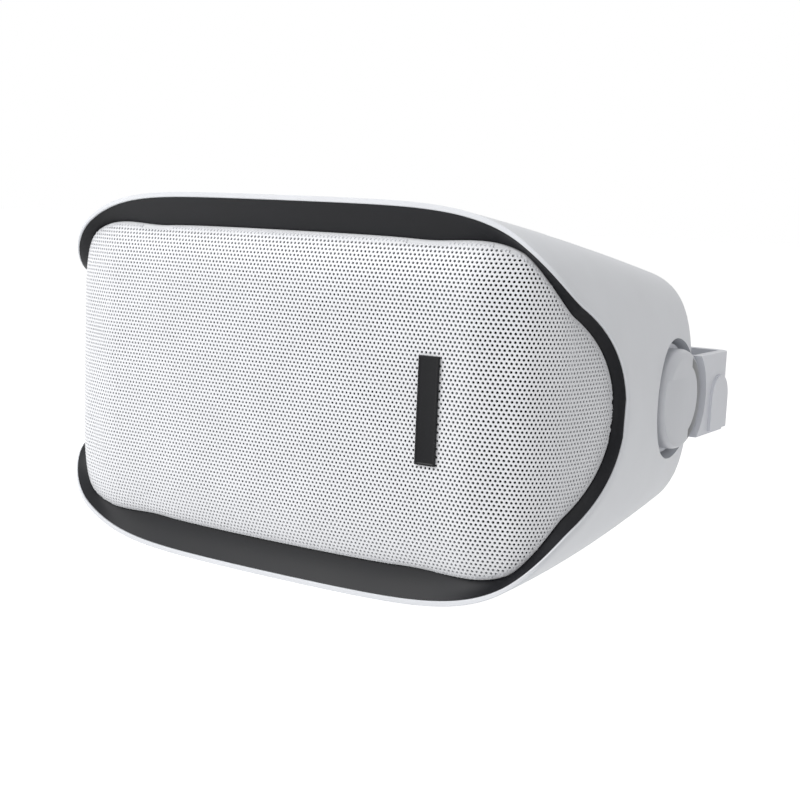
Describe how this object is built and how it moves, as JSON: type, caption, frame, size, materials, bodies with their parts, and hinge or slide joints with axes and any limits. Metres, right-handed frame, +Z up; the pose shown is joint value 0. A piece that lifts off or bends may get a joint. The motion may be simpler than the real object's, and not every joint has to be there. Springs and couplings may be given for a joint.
{
  "type": "wall speaker",
  "caption": "Two-way passive wall speaker: tapered white housing, wrapped domed perforated grille in a black bezel, tilting on a U bracket with side knobs.",
  "frame": {"origin": "on the wall, at the middle of the four wall holes in the bracket's plate", "axes": "+X along the speaker's length to its right seen from behind the camera, +Y into the wall, +Z up; the grille faces -Y"},
  "size_m": [0.3026, 0.182, 0.173],
  "materials": {
    "bracket_white": "fine satin, slightly cool white",
    "click_beige": "natural beige nylon",
    "housing_white": "fine spark texture, satin white",
    "bezel_black": "satin black",
    "grille_white": "powder-coated white perforated sheet",
    "badge_black": "glossy black, bare",
    "screw_steel": "zinc plated",
    "basket_black": "black paint",
    "rubber_black": "matt butyl rubber",
    "cone_black": "moulded polypropylene",
    "coil_copper": "enamelled copper wire",
    "spider_cloth": "resin-dipped cotton",
    "motor_steel": "zinc plated",
    "magnet_ferrite": "dull ferrite",
    "dome_silk": "coated silk",
    "board_green": "solder resist",
    "capacitor_blue": "shrink sleeve",
    "resistor_white": "ceramic",
    "cup_black": "black ABS",
    "post_brass": "bright brass",
    "cap_red": "clear red",
    "cap_black": "black",
    "knob_grey": "satin light grey",
    "wadding": "polyester wadding"
  },
  "bodies": {
    "bracket": {"bracket": "bracket_white", "click_ring_right": "click_beige", "click_ring_left": "click_beige"},
    "enclosure": {"enclosure_shell": "housing_white", "baffle": "bezel_black", "grille": "grille_white", "badge_plate": "badge_black", "baffle_screws": "screw_steel", "woofer_basket": "basket_black", "woofer_gasket": "rubber_black", "woofer_surround": "rubber_black", "woofer_spider": "spider_cloth", "woofer_top_plate": "motor_steel", "woofer_magnet": "magnet_ferrite", "woofer_yoke": "motor_steel", "woofer_screws": "screw_steel", "tweeter_faceplate": "basket_black", "tweeter_dome": "dome_silk", "tweeter_motor": "motor_steel", "tweeter_screws": "screw_steel", "crossover_board": "board_green", "crossover_coil": "coil_copper", "capacitors": "capacitor_blue", "resistor": "resistor_white", "board_screws": "screw_steel", "terminal_cup": "cup_black", "cup_screws": "screw_steel", "post_red": "post_brass", "post_black": "post_brass", "friction_washer_right": "rubber_black", "friction_washer_left": "rubber_black", "pivot_insert_right": "post_brass", "pivot_insert_left": "post_brass", "damping_pad": "wadding"},
    "cone": {"woofer_cone": "cone_black", "dust_cap": "cone_black", "voice_coil": "coil_copper"},
    "knob_right": {"knob_right": "knob_grey", "pivot_bolt_right": "screw_steel"},
    "knob_left": {"knob_left": "knob_grey", "pivot_bolt_left": "screw_steel"},
    "cap_red": {"cap_red": "cap_red"},
    "cap_black": {"cap_black": "cap_black"}
  },
  "joints": [
    {"name": "tilt", "type": "hinge", "parent": "bracket", "child": "enclosure", "pos_m": [0, -0.058, 0], "axis": [1, 0, 0], "range_deg": [-30, 30]},
    {"name": "knob_right_turn", "type": "hinge", "parent": "enclosure", "child": "knob_right", "pos_m": [0.14, -0.058, 0], "axis": [1, 0, 0], "range_deg": [0, 540]},
    {"name": "knob_left_turn", "type": "hinge", "parent": "enclosure", "child": "knob_left", "pos_m": [-0.14, -0.058, 0], "axis": [-1, 0, 0], "range_deg": [0, 540]},
    {"name": "cone_travel", "type": "slide", "parent": "enclosure", "child": "cone", "axis": [0, -1, 0], "range_m": [-0.003, 0.003], "stiffness_N_per_m": 1500, "deforming": ["woofer_surround", "woofer_spider"]},
    {"name": "cap_red_turn", "type": "hinge", "parent": "enclosure", "child": "cap_red", "pos_m": [0.0095, -0.04, 0.023], "axis": [0, 1, 0], "range_deg": [0, 540]},
    {"name": "cap_black_turn", "type": "hinge", "parent": "enclosure", "child": "cap_black", "pos_m": [-0.0095, -0.04, 0.023], "axis": [0, 1, 0], "range_deg": [0, 540]}
  ]
}
